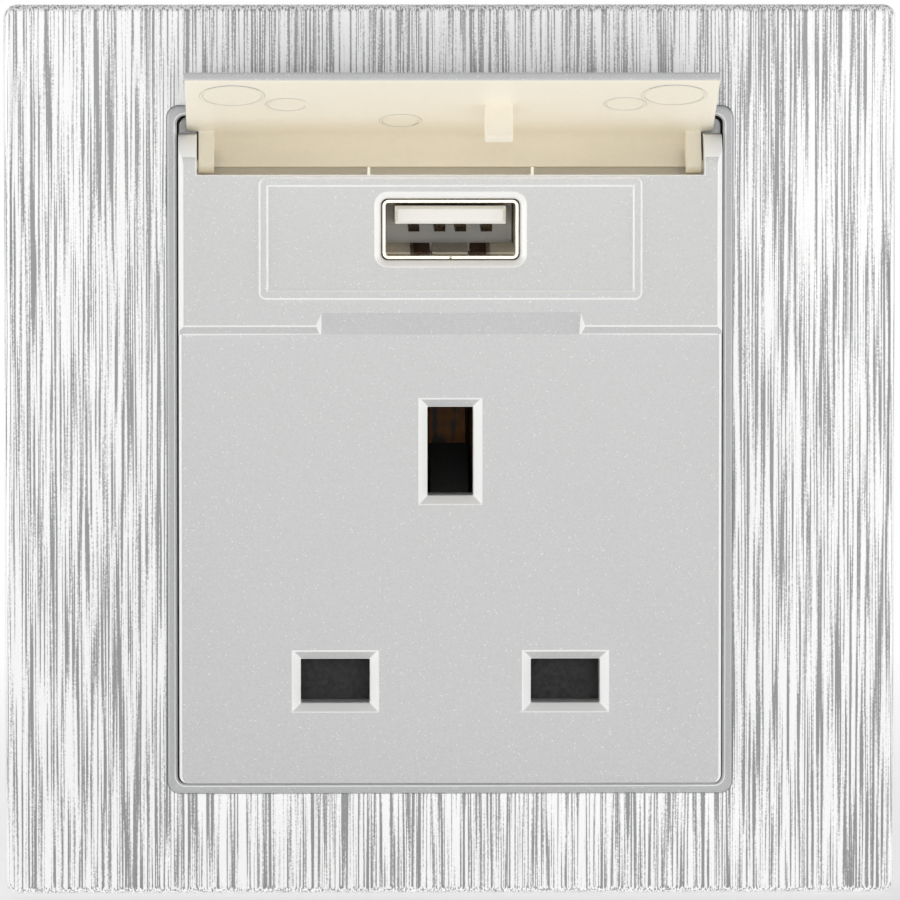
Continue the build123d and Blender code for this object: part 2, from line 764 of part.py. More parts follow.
# Terminal screws: slotted heads facing the rear
with BuildPart() as terminal_screws:
    with BuildSketch(Plane.XZ.offset(-terminal_rear_depth)):
        with Locations(*terminal_places):
            Circle(terminal_screw_radius)
    extrude(amount=terminal_rear_depth - terminal_bore_depth - terminal_bore / 2)
    with BuildSketch(Plane.XZ.offset(-terminal_rear_depth)):
        with Locations(*terminal_places):
            Circle(terminal_head_radius)
    extrude(amount=-terminal_head_height)
    with BuildSketch(Plane.XZ.offset(-terminal_rear_depth - terminal_head_height)):
        with Locations(*terminal_places):
            Rectangle(2 * terminal_head_radius, driver_slot_width)
    extrude(amount=driver_slot_depth, mode=Mode.SUBTRACT)
finish(terminal_screws, "terminal_screws")

# Rear housing: flanged box with screw posts, screw access tubes, wire entries and board rails
with BuildPart() as rear_housing:
    with BuildSketch(Plane.XZ):
        RectangleRounded(housing_width, housing_length, housing_corner)
    extrude(amount=-housing_depth)
    fillet(rear_housing.faces().sort_by(Axis.Y)[-1].edges(), housing_edge)
    with BuildSketch(Plane.XZ):
        RectangleRounded(
            module_width - 2 * fit_gap, module_length - 2 * fit_gap, housing_corner
        )
    extrude(amount=-flange_thickness)
    with BuildSketch(Plane.XZ):
        RectangleRounded(
            housing_inner_width, housing_inner_length, housing_corner - housing_wall + fit_gap
        )
    extrude(amount=-housing_floor_depth, mode=Mode.SUBTRACT)
    with BuildSketch(Plane.XZ):
        with Locations(*screw_places):
            Circle(post_radius)
    extrude(amount=-housing_floor_depth)
    with BuildSketch(Plane.XZ.offset(-terminal_rear_depth - fit_gap)):
        with Locations(*terminal_places):
            Circle(access_radius + access_wall)
    extrude(amount=terminal_rear_depth + fit_gap - housing_floor_depth)
    with BuildSketch(Plane.XZ.offset(-barrier_depth)):
        with Locations((-pin_x / 2, -housing_inner_length / 2), (pin_x / 2, -housing_inner_length / 2)):
            Rectangle(
                barrier_width,
                block_top_z + housing_inner_length / 2,
                align=(Align.CENTER, Align.MIN),
            )
    extrude(amount=barrier_depth - housing_floor_depth)
    with BuildSketch(Plane.XZ.offset(-flange_thickness)):
        rail_x = housing_inner_width / 2 - rail_width / 2
        for rail_z in (
            board_bottom_z - fit_gap - rail_height / 2,
            board_top_z + fit_gap + rail_height / 2,
        ):
            with Locations((-rail_x, rail_z), (rail_x, rail_z)):
                Rectangle(rail_width, rail_height)
    extrude(amount=flange_thickness - housing_floor_depth)
    with BuildSketch(Plane.XZ):
        with Locations(*screw_places):
            Circle(screw_radius + fit_gap)
    extrude(amount=-housing_depth, mode=Mode.SUBTRACT)
    with BuildSketch(Plane.XZ.offset(-screw_seat_depth)):
        with Locations(*screw_places):
            Circle(screw_head_radius + fit_gap)
    extrude(amount=screw_seat_depth - housing_depth, mode=Mode.SUBTRACT)
    with BuildSketch(Plane.XZ.offset(-terminal_rear_depth)):
        with Locations(*terminal_places):
            Circle(access_radius)
    extrude(amount=terminal_rear_depth - housing_depth, mode=Mode.SUBTRACT)
    with BuildSketch(Plane.XY.offset(-housing_length / 2)):
        with Locations(*((x, terminal_bore_depth) for x, z in terminal_places)):
            Circle(wire_entry_radius)
    extrude(amount=housing_wall, mode=Mode.SUBTRACT)
    entry_rims = rear_housing.edges().filter_by(GeomType.CIRCLE).filter_by_position(
        Axis.Z, -housing_length / 2, -housing_length / 2
    )
    chamfer(entry_rims, wire_entry_flare)
finish(rear_housing, "rear_housing")

# Housing screws: from the posts into the bosses of the module front
with BuildPart() as housing_screws:
    with BuildSketch(Plane.XZ.offset(-screw_seat_depth)):
        with Locations(*screw_places):
            Circle(screw_radius)
    extrude(amount=screw_seat_depth + cavity_height - face_wall)
    with BuildSketch(Plane.XZ.offset(-screw_seat_depth)):
        with Locations(*screw_places):
            Circle(screw_head_radius)
    extrude(amount=-screw_head_height)
    with BuildSketch(Plane.XZ.offset(-screw_seat_depth - screw_head_height)):
        with Locations(*screw_places):
            Rectangle(1.6 * screw_head_radius, driver_slot_width)
            Rectangle(driver_slot_width, 1.6 * screw_head_radius)
    extrude(amount=driver_slot_depth, mode=Mode.SUBTRACT)
finish(housing_screws, "housing_screws")

# USB supply: the board and the parts that stand on it
with BuildPart() as usb_board:
    with BuildSketch(Plane.XY.offset(board_bottom_z)):
        with Locations((0, -board_front_height)):
            Rectangle(
                board_width, board_front_height + board_rear_depth, align=(Align.CENTER, Align.MIN)
            )
    extrude(amount=board_thickness)
finish(usb_board, "usb_board")

window_height = core_height - 2 * core_leg
window_width = (core_width - 2 * core_leg - core_middle_leg) / 2
with BuildPart() as transformer_core:
    with BuildSketch(Plane.XZ.offset(-transformer_depth)):
        with Locations((0, board_top_z + core_height / 2)):
            Rectangle(core_width, core_height)
            with GridLocations(core_middle_leg + window_width, 1, 2, 1):
                Rectangle(window_width, window_height, mode=Mode.SUBTRACT)
    extrude(amount=core_thickness / 2, both=True)
finish(transformer_core, "transformer_core")

with BuildPart() as transformer_winding:
    with BuildSketch(Plane.XY.offset(board_top_z + core_leg + winding_gap)):
        with Locations((0, transformer_depth)):
            RectangleRounded(
                core_middle_leg + 2 * window_width - 2 * winding_gap, winding_length, core_leg / 2
            )
            Rectangle(
                core_middle_leg + 2 * winding_gap,
                core_thickness + 2 * winding_gap,
                mode=Mode.SUBTRACT,
            )
    extrude(amount=window_height - 2 * winding_gap)
finish(transformer_winding, "transformer_winding")

input_places = [(-component_x, front_row_depth), (-component_x, middle_row_depth)]
output_places = [(component_x, front_row_depth)]
for name, places, height in (
    ("input_capacitors", input_places, input_capacitor_height),
    ("output_capacitor", output_places, output_capacitor_height),
):
    with BuildPart() as capacitors:
        for x, depth in places:
            with BuildSketch(Plane.XZ.offset(-depth)):
                with BuildLine():
                    Polyline(
                        (x, board_top_z),
                        (x + capacitor_radius, board_top_z),
                        (x + capacitor_radius, board_top_z + 3 * capacitor_groove),
                        (x + capacitor_radius - capacitor_groove, board_top_z + 4 * capacitor_groove),
                        (x + capacitor_radius, board_top_z + 5 * capacitor_groove),
                        (x + capacitor_radius, board_top_z + height - capacitor_groove),
                        (x + capacitor_radius - capacitor_groove, board_top_z + height),
                        (x, board_top_z + height),
                        close=True,
                    )
                make_face()
            revolve(axis=Axis((x, depth, 0), (0, 0, 1)))
    finish(capacitors, name)

with BuildPart() as rectifier:
    with BuildSketch(Plane.XY.offset(board_top_z)):
        with Locations((-component_x, rear_row_depth)):
            Rectangle(rectifier_width, rectifier_length)
    extrude(amount=rectifier_height)
    chamfer(rectifier.faces().sort_by(Axis.Z)[-1].edges(), capacitor_groove)
finish(rectifier, "rectifier")

with BuildPart() as controller_chip:
    with BuildSketch(Plane.XY.offset(board_top_z)):
        with Locations((component_x, middle_row_depth)):
            Rectangle(chip_width, chip_length + chip_leg_width)
    extrude(amount=chip_height)
    chamfer(controller_chip.faces().sort_by(Axis.Z)[-1].edges(), chip_leg_sheet)
    with BuildSketch(Plane.XY.offset(board_top_z)):
        with Locations((component_x, middle_row_depth)):
            with GridLocations(1, chip_leg_pitch, 1, 4):
                Rectangle(chip_width + 2 * chip_leg_reach, chip_leg_width)
    extrude(amount=chip_leg_sheet)
finish(controller_chip, "controller_chip")

with BuildPart() as fuse_resistor:
    with Locations((component_x, rear_row_depth, board_top_z + fuse_radius)):
        Cylinder(fuse_radius, fuse_length, rotation=(0, 90, 0))
        Cylinder(lead_radius, fuse_length + 2 * lead_reach, rotation=(0, 90, 0))
    with Locations((component_x, rear_row_depth, board_top_z)):
        with GridLocations(fuse_length + 2 * lead_reach, 1, 2, 1):
            Cylinder(
                1.2 * lead_radius,
                fuse_radius + 2 * lead_radius,
                align=(Align.CENTER, Align.CENTER, Align.MIN),
            )
finish(fuse_resistor, "fuse_resistor")

with BuildPart() as feed_strips:
    with BuildSketch(Plane.XY.offset(block_top_z)):
        with Locations(*((x, feed_depth) for x in (-pin_x, pin_x))):
            Rectangle(feed_width, feed_sheet, align=(Align.CENTER, Align.MIN))
    extrude(amount=board_bottom_z - block_top_z)
finish(feed_strips, "feed_strips")
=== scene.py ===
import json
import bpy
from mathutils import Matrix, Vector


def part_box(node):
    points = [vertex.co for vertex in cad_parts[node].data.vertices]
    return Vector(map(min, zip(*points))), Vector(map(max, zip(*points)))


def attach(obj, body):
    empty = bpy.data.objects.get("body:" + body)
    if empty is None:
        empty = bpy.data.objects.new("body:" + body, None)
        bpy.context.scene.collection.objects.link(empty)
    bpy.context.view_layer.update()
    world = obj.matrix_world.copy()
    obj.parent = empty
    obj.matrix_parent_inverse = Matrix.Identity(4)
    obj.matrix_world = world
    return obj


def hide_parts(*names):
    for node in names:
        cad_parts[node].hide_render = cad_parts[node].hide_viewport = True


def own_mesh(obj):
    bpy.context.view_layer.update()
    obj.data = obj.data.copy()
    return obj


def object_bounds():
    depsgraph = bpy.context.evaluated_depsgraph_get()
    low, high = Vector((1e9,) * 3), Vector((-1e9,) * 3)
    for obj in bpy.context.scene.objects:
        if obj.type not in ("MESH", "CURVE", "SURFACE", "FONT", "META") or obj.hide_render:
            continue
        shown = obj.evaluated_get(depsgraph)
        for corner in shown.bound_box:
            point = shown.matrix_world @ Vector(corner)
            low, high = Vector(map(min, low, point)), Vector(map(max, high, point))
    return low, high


bl_info = {
    "name": "USB wall socket",
    "version": (1, 0, 0),
    "blender": (4, 5, 0),
    "location": "View3D > Sidebar > Socket",
    "description": "Dresses a three-pin wall socket with a hinged flap over its USB port",
    "category": "Object",
}

from math import cos, radians, sin, tau

import bmesh
import bpy
from bpy.props import FloatProperty, FloatVectorProperty, IntProperty, PointerProperty
from mathutils import Vector

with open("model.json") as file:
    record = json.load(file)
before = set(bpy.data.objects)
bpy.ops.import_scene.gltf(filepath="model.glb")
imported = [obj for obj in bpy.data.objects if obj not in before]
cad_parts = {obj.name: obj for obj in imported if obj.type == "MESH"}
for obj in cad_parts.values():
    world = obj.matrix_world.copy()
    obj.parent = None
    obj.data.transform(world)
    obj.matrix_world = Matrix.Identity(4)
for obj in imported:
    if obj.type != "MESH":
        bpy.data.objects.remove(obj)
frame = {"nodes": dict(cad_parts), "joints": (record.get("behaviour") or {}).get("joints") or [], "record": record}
cad_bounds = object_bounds()
joints = {joint["name"]: joint for joint in frame["joints"]}
slots = {part["node"]: part["material_slot"] for part in frame["record"]["subparts"]}

# Streaks: the layers' shares of the density and their shifts, the weights of the second layer and
# of the fine grain, and the band of noise that runs from dark to light
streak_layers = ((1.0, 0.0), (0.45, 31.0))
second_layer, fine_layer = 0.25, 0.1
streak_band = (0.435, 0.515)
streak_relief = 0.00002

# Grain: scale of the clouding and its weight, the rarest flakes that sparkle, the bump's depth
cloud_scale, cloud_weight = 90.0, 0.3
sparkle_from = 0.985
grain_relief = 0.00001

# Rounding: what counts as one point, as flat, as sharp and as a sliver too thin to round
merge_distance = 1e-6
flat_angle, sharp_angle, shade_angle = radians(0.5), radians(30), radians(16)
sliver_corners, sliver_area = 6, 3e-7

# Places of the lamps and their sizes, in metres
lamps = {
    "left_lamp": ((-0.8, -0.26, 0.08), 0.3, "side_power"),
    "right_lamp": ((0.8, -0.26, 0.08), 0.3, "side_power"),
    "top_lamp": ((0, -0.6, 0.6), 0.6, "top_power"),
    "front_lamp": ((0.05, -0.9, 0.0), 0.5, "front_power"),
    "rear_lamp": ((-0.4, 0.9, 0.5), 0.9, "rear_power"),
}
picture_width = 900
sensor = 36
floor_half = 3
floor_gap = 0.0002


def tone(red, green, blue):
    """Linear colour of a display tone given as 0 to 255."""
    return tuple(
        c / 12.92 if c <= 0.04045 else ((c + 0.055) / 1.055) ** 2.4
        for c in (red / 255, green / 255, blue / 255)
    )


def colour(name, red, green, blue, words):
    return FloatVectorProperty(
        name=name, description=words, subtype="COLOR", min=0, max=1, default=tone(red, green, blue)
    )


def length(name, metres, words):
    return FloatProperty(name=name, description=words, default=metres, min=0, unit="LENGTH", precision=5)


def amount(name, value, words):
    return FloatProperty(name=name, description=words, default=value, min=0)


class SocketFinishes(bpy.types.PropertyGroup):
    """Colours and grains of the socket's finishes"""

    streak_light: colour("Streak light", 255, 255, 255, "Brightest streaks of the brushed plate")
    streak_dark: colour("Streak dark", 150, 150, 151, "Darkest streaks of the brushed plate")
    streak_width: length("Streak width", 0.00015, "Width of one brushed streak")
    streak_length: length("Streak length", 0.014, "Length of one brushed streak")
    silver: colour("Silver", 206, 207, 206, "Silver coat of the module and the flap")
    # Painted shade: the bezel's silver is a darker copy of the module's silver coat
    bezel: colour("Bezel", 188, 189, 189, "Silver coat darkened as painted shade on the bezel and the frame behind the plate")
    # Painted highlight: a near-white copy of the silver coat for rounded edges and slopes facing the lamps
    painted_edge_highlight: colour("Painted edge highlight", 250, 250, 249, "Painted highlight on rounded edges and lamp-facing slopes of the silver coat")
    speck_size: length("Speck size", 0.00012, "Size of one flake in the silver coat")
    cream: colour("Cream", 250, 243, 226, "Bare plastic inside the flap")
    white: colour("White", 232, 230, 224, "Bare plastic of the bracket and the rear housing")
    insulator: colour("Insulator", 252, 250, 244, "Tongue of the USB port")
    plated: colour("Plated", 246, 240, 224, "Nickel plate of the USB shell")
    # Painted shade: the gold and its dark streaks are darkened nearly to black, as the contacts look deep in the
    # port
    gold: colour("Gold", 74, 60, 44, "Gold flash on the USB contacts, darkened as painted shade")
    painted_contact_shade: colour("Painted contact shade", 34, 29, 25, "Painted shade on the gold and brass contacts")
    copper: colour("Copper", 88, 64, 48, "Copper that shows on the worn spring fingers")
    dull_plate: colour("Dull plate", 214, 206, 190, "Nickel plate on the floor of the USB port")
    # Painted shade: the brass is darkened so that the clips stay dark inside the pin holes
    brass: colour("Brass", 128, 84, 42, "Stamped brass of the contacts, darkened as painted shade")
    zinc: colour("Zinc", 196, 198, 200, "Zinc plate of the screws")
    dark: colour("Dark", 27, 27, 26, "Plastic of the shutter")
    mask: colour("Board", 34, 92, 52, "Solder mask of the board")


class SocketEdges(bpy.types.PropertyGroup):
    """Sizes of the rounded edges and small fittings"""

    moulded: length("Moulded edge", 0.00009, "Rounding of moulded plastic edges")
    sheet: length("Sheet edge", 0.00005, "Rounding of cut metal edges")
    segments: IntProperty(name="Segments", description="Steps across a rounded edge", default=2, min=1, max=4)
    contact_width: length("Contact width", 0.00105, "Width of one USB contact strip")
    contact_sheet: length("Contact sheet", 0.00022, "Thickness of one USB contact strip")
    rib_width: length("Rib width", 0.00028, "Width of one rib in the hinge slot")
    rib_height: length("Rib height", 0.00085, "Height of one rib in the hinge slot")
    rib_spacing: length("Rib spacing", 0.0157, "Distance between the ribs in the hinge slot")
    finger_rise: length("Finger rise", 0.0009, "Rise of the sprung strips on the floor of the USB port")


class SocketStage(bpy.types.PropertyGroup):
    """Camera and lamps"""

    distance: length("Distance", 0.8, "Camera distance from the plate")
    azimuth: FloatProperty(
        name="Azimuth", description="Camera angle to the right", default=radians(-1), subtype="ANGLE"
    )
    elevation: FloatProperty(
        name="Elevation", description="Camera angle above the level", default=radians(3.2), subtype="ANGLE"
    )
    pixels_per_metre: amount("Scale", 10350, "Picture points per metre at the plate's front, in 900")
    aim_height: FloatProperty(
        name="Aim height", description="Height that the camera looks at", default=0.0, unit="LENGTH"
    )
    side_power: amount("Side lamps", 1.6, "Power of each lamp at the side")
    top_power: amount("Top lamp", 0.2, "Power of the lamp above")
    front_power: amount("Front lamp", 1.7, "Power of the lamp beside the camera")
    rear_power: amount("Rear lamp", 4.5, "Power of the lamp behind the plate")
    ambient: amount("Ambient", 0.1, "Even light from all round")
    bounce: amount("Bounce", 1.12, "Light that the floor gives back to matt surfaces")


def node_tree(name, kind, sockets):
    """New node group with its inputs and outputs, given as (direction, name, type, default)."""
    tree = bpy.data.node_groups.new(name, kind)
    for direction, label, socket_type, default in sockets:
        socket = tree.interface.new_socket(label, in_out=direction, socket_type=socket_type)
        if default is not None:
            socket.default_value = default
    return tree


def add(tree, kind, inputs=None, **settings):
    """New node with settings, and with inputs given as values or as sockets to link from."""
    node = tree.nodes.new(kind)
    for key, value in settings.items():
        setattr(node, key, value)
    for key, value in (inputs or {}).items():
        if isinstance(value, bpy.types.NodeSocket):
            tree.links.new(value, node.inputs[key])
        else:
            node.inputs[key].default_value = value
    return node


def streak_group():
    """Broken parallel streaks along Z, from two layers of drawn-out noise and a fine grain."""
    tree = node_tree(
        "drawn_streaks",
        "ShaderNodeTree",
        [
            ("INPUT", "Light", "NodeSocketColor", (1, 1, 1, 1)),
            ("INPUT", "Dark", "NodeSocketColor", (0.2, 0.2, 0.2, 1)),
            ("INPUT", "Width", "NodeSocketFloat", 0.0004),
            ("INPUT", "Length", "NodeSocketFloat", 0.006),
            ("INPUT", "Roughness", "NodeSocketFloat", 0.3),
            ("OUTPUT", "Colour", "NodeSocketColor", None),
            ("OUTPUT", "Roughness", "NodeSocketFloat", None),
            ("OUTPUT", "Height", "NodeSocketFloat", None),
        ],
    )
    given = add(tree, "NodeGroupInput").outputs
    place = add(tree, "ShaderNodeTexCoord").outputs["Object"]
    across = add(tree, "ShaderNodeMath", {0: 1.0, 1: given["Width"]}, operation="DIVIDE").outputs[0]
    along = add(tree, "ShaderNodeMath", {0: 1.0, 1: given["Length"]}, operation="DIVIDE").outputs[0]
    stretch = add(tree, "ShaderNodeCombineXYZ", {"X": across, "Y": across, "Z": along}).outputs[0]
    layers = []
    for share, shift in streak_layers:
        scaled = add(
            tree, "ShaderNodeVectorMath", {0: stretch, 1: (share, share, share)}, operation="MULTIPLY"
        ).outputs[0]
        moved = add(
            tree,
            "ShaderNodeVectorMath",
            {0: place, 1: scaled, 2: (shift, shift, shift)},
            operation="MULTIPLY_ADD",
        ).outputs[0]
        layers.append(
            add(
                tree, "ShaderNodeTexNoise", {"Vector": moved, "Scale": 1.0, "Detail": 1.0, "Roughness": 0.5}
            ).outputs["Fac"]
        )
    both = add(
        tree, "ShaderNodeMix", {"Factor": second_layer, "A": layers[0], "B": layers[1]}
    ).outputs["Result"]
    fine = add(
        tree, "ShaderNodeTexNoise", {"Vector": place, "Scale": across, "Detail": 0.0}
    ).outputs["Fac"]
    both = add(tree, "ShaderNodeMix", {"Factor": fine_layer, "A": both, "B": fine}).outputs["Result"]
    darkest, lightest = streak_band
    level = add(
        tree, "ShaderNodeMapRange", {"Value": both, "From Min": darkest, "From Max": lightest}
    ).outputs["Result"]
    shade = add(
        tree,
        "ShaderNodeMix",
        {0: level, 6: given["Dark"], 7: given["Light"]},
        data_type="RGBA",
    ).outputs[2]
    rough = add(
        tree, "ShaderNodeMath", {0: level, 1: 0.12, 2: given["Roughness"]}, operation="MULTIPLY_ADD"
    ).outputs[0]
    add(tree, "NodeGroupOutput", {"Colour": shade, "Roughness": rough, "Height": level})
    return tree


def grain_group():
    """Fine flakes and slow clouding on a coated or moulded surface."""
    tree = node_tree(
        "fine_grain",
        "ShaderNodeTree",
        [
            ("INPUT", "Colour", "NodeSocketColor", (0.5, 0.5, 0.5, 1)),
            ("INPUT", "Speck", "NodeSocketFloat", 0.0001),
            ("INPUT", "Glint", "NodeSocketFloat", 0.1),
            ("INPUT", "Sparkle", "NodeSocketFloat", 0.0),
            ("INPUT", "Roughness", "NodeSocketFloat", 0.4),
            ("OUTPUT", "Colour", "NodeSocketColor", None),
            ("OUTPUT", "Roughness", "NodeSocketFloat", None),
            ("OUTPUT", "Height", "NodeSocketFloat", None),
        ],
    )
    given = add(tree, "NodeGroupInput").outputs
    place = add(tree, "ShaderNodeTexCoord").outputs["Object"]
    density = add(tree, "ShaderNodeMath", {0: 1.0, 1: given["Speck"]}, operation="DIVIDE").outputs[0]
    flakes = add(tree, "ShaderNodeTexVoronoi", {"Vector": place, "Scale": density}).outputs["Color"]
    flake = add(tree, "ShaderNodeSeparateColor", {0: flakes}).outputs["Red"]
    clouds = add(
        tree, "ShaderNodeTexNoise", {"Vector": place, "Scale": cloud_scale, "Detail": 3.0}
    ).outputs["Fac"]
    mixed = add(tree, "ShaderNodeMix", {"Factor": cloud_weight, "A": flake, "B": clouds}).outputs["Result"]
    centred = add(tree, "ShaderNodeMath", {0: mixed, 1: 0.5}, operation="SUBTRACT").outputs[0]
    gain = add(
        tree, "ShaderNodeMath", {0: centred, 1: given["Glint"], 2: 1.0}, operation="MULTIPLY_ADD"
    ).outputs[0]
    rare = add(
        tree, "ShaderNodeMath", {0: flake, 1: sparkle_from}, operation="GREATER_THAN"
    ).outputs[0]
    gain = add(
        tree, "ShaderNodeMath", {0: rare, 1: given["Sparkle"], 2: gain}, operation="MULTIPLY_ADD"
    ).outputs[0]
    shade = add(
        tree, "ShaderNodeVectorMath", {0: given["Colour"], "Scale": gain}, operation="SCALE"
    ).outputs[0]
    rough = add(
        tree, "ShaderNodeMath", {0: centred, 1: 0.2, 2: given["Roughness"]}, operation="MULTIPLY_ADD"
    ).outputs[0]
    add(tree, "NodeGroupOutput", {"Colour": shade, "Roughness": rough, "Height": flake})
    return tree


def shared_group(name, make):
    return bpy.data.node_groups.get(name) or make()


def surface(name, group, inputs, metallic, bump, bump_depth):
    """Material whose colour, roughness and bump come from one of the shared groups."""
    material = bpy.data.materials.get(name)
    if material:
        return material
    material = bpy.data.materials.new(name)
    material.use_nodes = True
    tree = material.node_tree
    body = tree.nodes["Principled BSDF"]
    texture = add(tree, "ShaderNodeGroup", node_tree=group)
    for key, value in inputs.items():
        texture.inputs[key].default_value = value
    relief = add(
        tree,
        "ShaderNodeBump",
        {"Strength": bump, "Distance": bump_depth, "Height": texture.outputs["Height"]},
    )
    tree.links.new(texture.outputs["Colour"], body.inputs["Base Color"])
    tree.links.new(texture.outputs["Roughness"], body.inputs["Roughness"])
    tree.links.new(relief.outputs["Normal"], body.inputs["Normal"])
    body.inputs["Metallic"].default_value = metallic
    return material


def streaked(name, light, dark, width, run, metallic, roughness):
    """Drawn or rolled metal with streaks along Z."""
    inputs = {
        "Light": (*light, 1),
        "Dark": (*dark, 1),
        "Width": width,
        "Length": run,
        "Roughness": roughness,
    }
    group = shared_group("drawn_streaks", streak_group)
    return surface(name, group, inputs, metallic, 0.15, streak_relief)


def grained(name, shade, speck, glint, metallic, roughness, sparkle=0.0, bump=0.1):
    """Coated, moulded or plated surface with fine specks."""
    inputs = {
        "Colour": (*shade, 1),
        "Speck": speck,
        "Glint": glint,
        "Sparkle": sparkle,
        "Roughness": roughness,
    }
    group = shared_group("fine_grain", grain_group)
    return surface(name, group, inputs, metallic, bump, grain_relief)


def silver_coat():
    finish = bpy.context.scene.socket_finishes
    return flaked("silver_coat", finish.silver)


# Silver coat with painted shade, darker than the module's
def bezel_coat():
    finish = bpy.context.scene.socket_finishes
    return flaked("bezel_coat", finish.bezel)


def flaked(name, shade):
    """Silver coat with sparkling flakes."""
    speck = bpy.context.scene.socket_finishes.speck_size
    return grained(name, shade, speck, glint=0.16, metallic=0.22, roughness=0.44, sparkle=0.22)


# Painted highlight for rounded edges and lamp-facing slopes
def painted_edge_highlight():
    finish = bpy.context.scene.socket_finishes
    return grained("polished_edge", finish.painted_edge_highlight, finish.speck_size, 0.02, 0.1, 0.4, bump=0.01)


def bare_cream():
    return grained("cream_moulding", bpy.context.scene.socket_finishes.cream, 0.0004, 0.03, 0.0, 0.38)


def white_plastic():
    return grained("white_moulding", bpy.context.scene.socket_finishes.white, 0.0004, 0.05, 0.0, 0.5)


# Painted shade and painted glints: darkened brass with broad light and dark bands along Z for the glints in the
# earth hole
def stamped_brass():
    finish = bpy.context.scene.socket_finishes
    return streaked("stamped_brass", finish.brass, finish.painted_contact_shade, 0.0012, 0.02, 0.6, 0.36)


def paint(node, material):
    """Give a solid of the frame its material."""
    mesh = frame["nodes"][node].data
    mesh.materials.clear()
    mesh.materials.append(material)


def settle(piece, body, slot, *nodes):
    """Let a finished piece ride on its body and stand for its solids."""
    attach(piece, body)
    if nodes:
        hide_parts(*nodes)


def rounded_copy(node, name, edge, materials, body="base", highlight_slot=-1):
    """Merged copy of a solid with its sharp edges rounded, in place of the solid."""
    mesh = frame["nodes"][node].data.copy()
    mesh.name = name
    shape = bmesh.new()
    shape.from_mesh(mesh)
    bmesh.ops.remove_doubles(shape, verts=shape.verts, dist=merge_distance)
    bmesh.ops.dissolve_limit(shape, angle_limit=flat_angle, verts=shape.verts, edges=shape.edges)
    weight = shape.edges.layers.float.new("bevel_weight_edge")
    for line in shape.edges:
        on_sliver = any(
            len(face.verts) > sliver_corners and face.calc_area() < sliver_area for face in line.link_faces
        )
        line[weight] = float(line.calc_face_angle(0) > sharp_angle and not on_sliver)
    shape.to_mesh(mesh)
    shape.free()
    if "custom_normal" in mesh.attributes:
        mesh.attributes.remove(mesh.attributes["custom_normal"])
    mesh.shade_smooth()
    mesh.set_sharp_from_angle(angle=shade_angle)
    mesh.materials.clear()
    for material in materials:
        mesh.materials.append(material)
    piece = bpy.data.objects.new(name, mesh)
    bpy.context.scene.collection.objects.link(piece)
    rounding = piece.modifiers.new("rounded edges", "BEVEL")
    rounding.width = edge
    rounding.segments = bpy.context.scene.socket_edges.segments
    rounding.limit_method = "WEIGHT"
    rounding.use_clamp_overlap = False
    rounding.harden_normals = True
    rounding.loop_slide = False
    # The new bevel faces take the painted highlight when a slot for it is given
    rounding.material = highlight_slot
    settle(piece, body, slots[node], node)
    return piece


def grown(name, points, edges, tree, inputs):
    """Plain mesh that a Geometry Nodes tree grows on a few points or lines."""
    seed = bpy.data.meshes.new(name + "_seed")
    seed.from_pydata(points, edges, [])
    carrier = bpy.data.objects.new(name + "_seed", seed)
    bpy.context.scene.collection.objects.link(carrier)
    modifier = carrier.modifiers.new("grow", "NODES")
    modifier.node_group = tree
    identifiers = {item.name: item.identifier for item in tree.interface.items_tree}
    for key, value in inputs.items():
        modifier[identifiers[key]] = value
    evaluated = carrier.evaluated_get(bpy.context.evaluated_depsgraph_get())
    mesh = bpy.data.meshes.new_from_object(evaluated)
    bpy.data.objects.remove(carrier)
    bpy.data.meshes.remove(seed)
    mesh.name = name
    mesh.set_sharp_from_angle(angle=radians(35))
    piece = bpy.data.objects.new(name, mesh)
    bpy.context.scene.collection.objects.link(piece)
    return piece


def strip_tree(material):
    """Flat strip swept along each line, with its bends rounded."""
    tree = node_tree(
        "bent_strips",
        "GeometryNodeTree",
        [
            ("INPUT", "Lines", "NodeSocketGeometry", None),
            ("INPUT", "Width", "NodeSocketFloat", 0.001),
            ("INPUT", "Sheet", "NodeSocketFloat", 0.0002),
            ("INPUT", "Bend", "NodeSocketFloat", 0.0004),
            ("OUTPUT", "Strips", "NodeSocketGeometry", None),
        ],
    )
    given = add(tree, "NodeGroupInput").outputs
    path = add(tree, "GeometryNodeMeshToCurve", {"Mesh": given["Lines"]}).outputs[0]
    bent = add(
        tree,
        "GeometryNodeFilletCurve",
        {"Curve": path, "Radius": given["Bend"], "Limit Radius": True, "Count": 5},
        mode="POLY",
    ).outputs[0]
    upright = add(tree, "GeometryNodeSetCurveNormal", {"Curve": bent}, mode="Z_UP").outputs[0]
    section = add(
        tree,
        "GeometryNodeCurvePrimitiveQuadrilateral",
        {"Width": given["Width"], "Height": given["Sheet"]},
    ).outputs[0]
    swept = add(
        tree,
        "GeometryNodeCurveToMesh",
        {"Curve": upright, "Profile Curve": section, "Fill Caps": True},
    ).outputs[0]
    solid = add(tree, "GeometryNodeRealizeInstances", {0: swept}).outputs[0]
    coated = add(tree, "GeometryNodeSetMaterial", {"Geometry": solid, "Material": material}).outputs[0]
    add(tree, "NodeGroupOutput", {"Strips": coated})
    return tree


def strips(name, material, places, line, sizes):
    """Like strips side by side, each along the same line of (y, z) points."""
    points, lines = [], []
    for x in places:
        first = len(points)
        points += [(x, y, z) for y, z in line]
        lines += [(first + i, first + i + 1) for i in range(len(line) - 1)]
    return grown(name, points, lines, strip_tree(material), sizes)


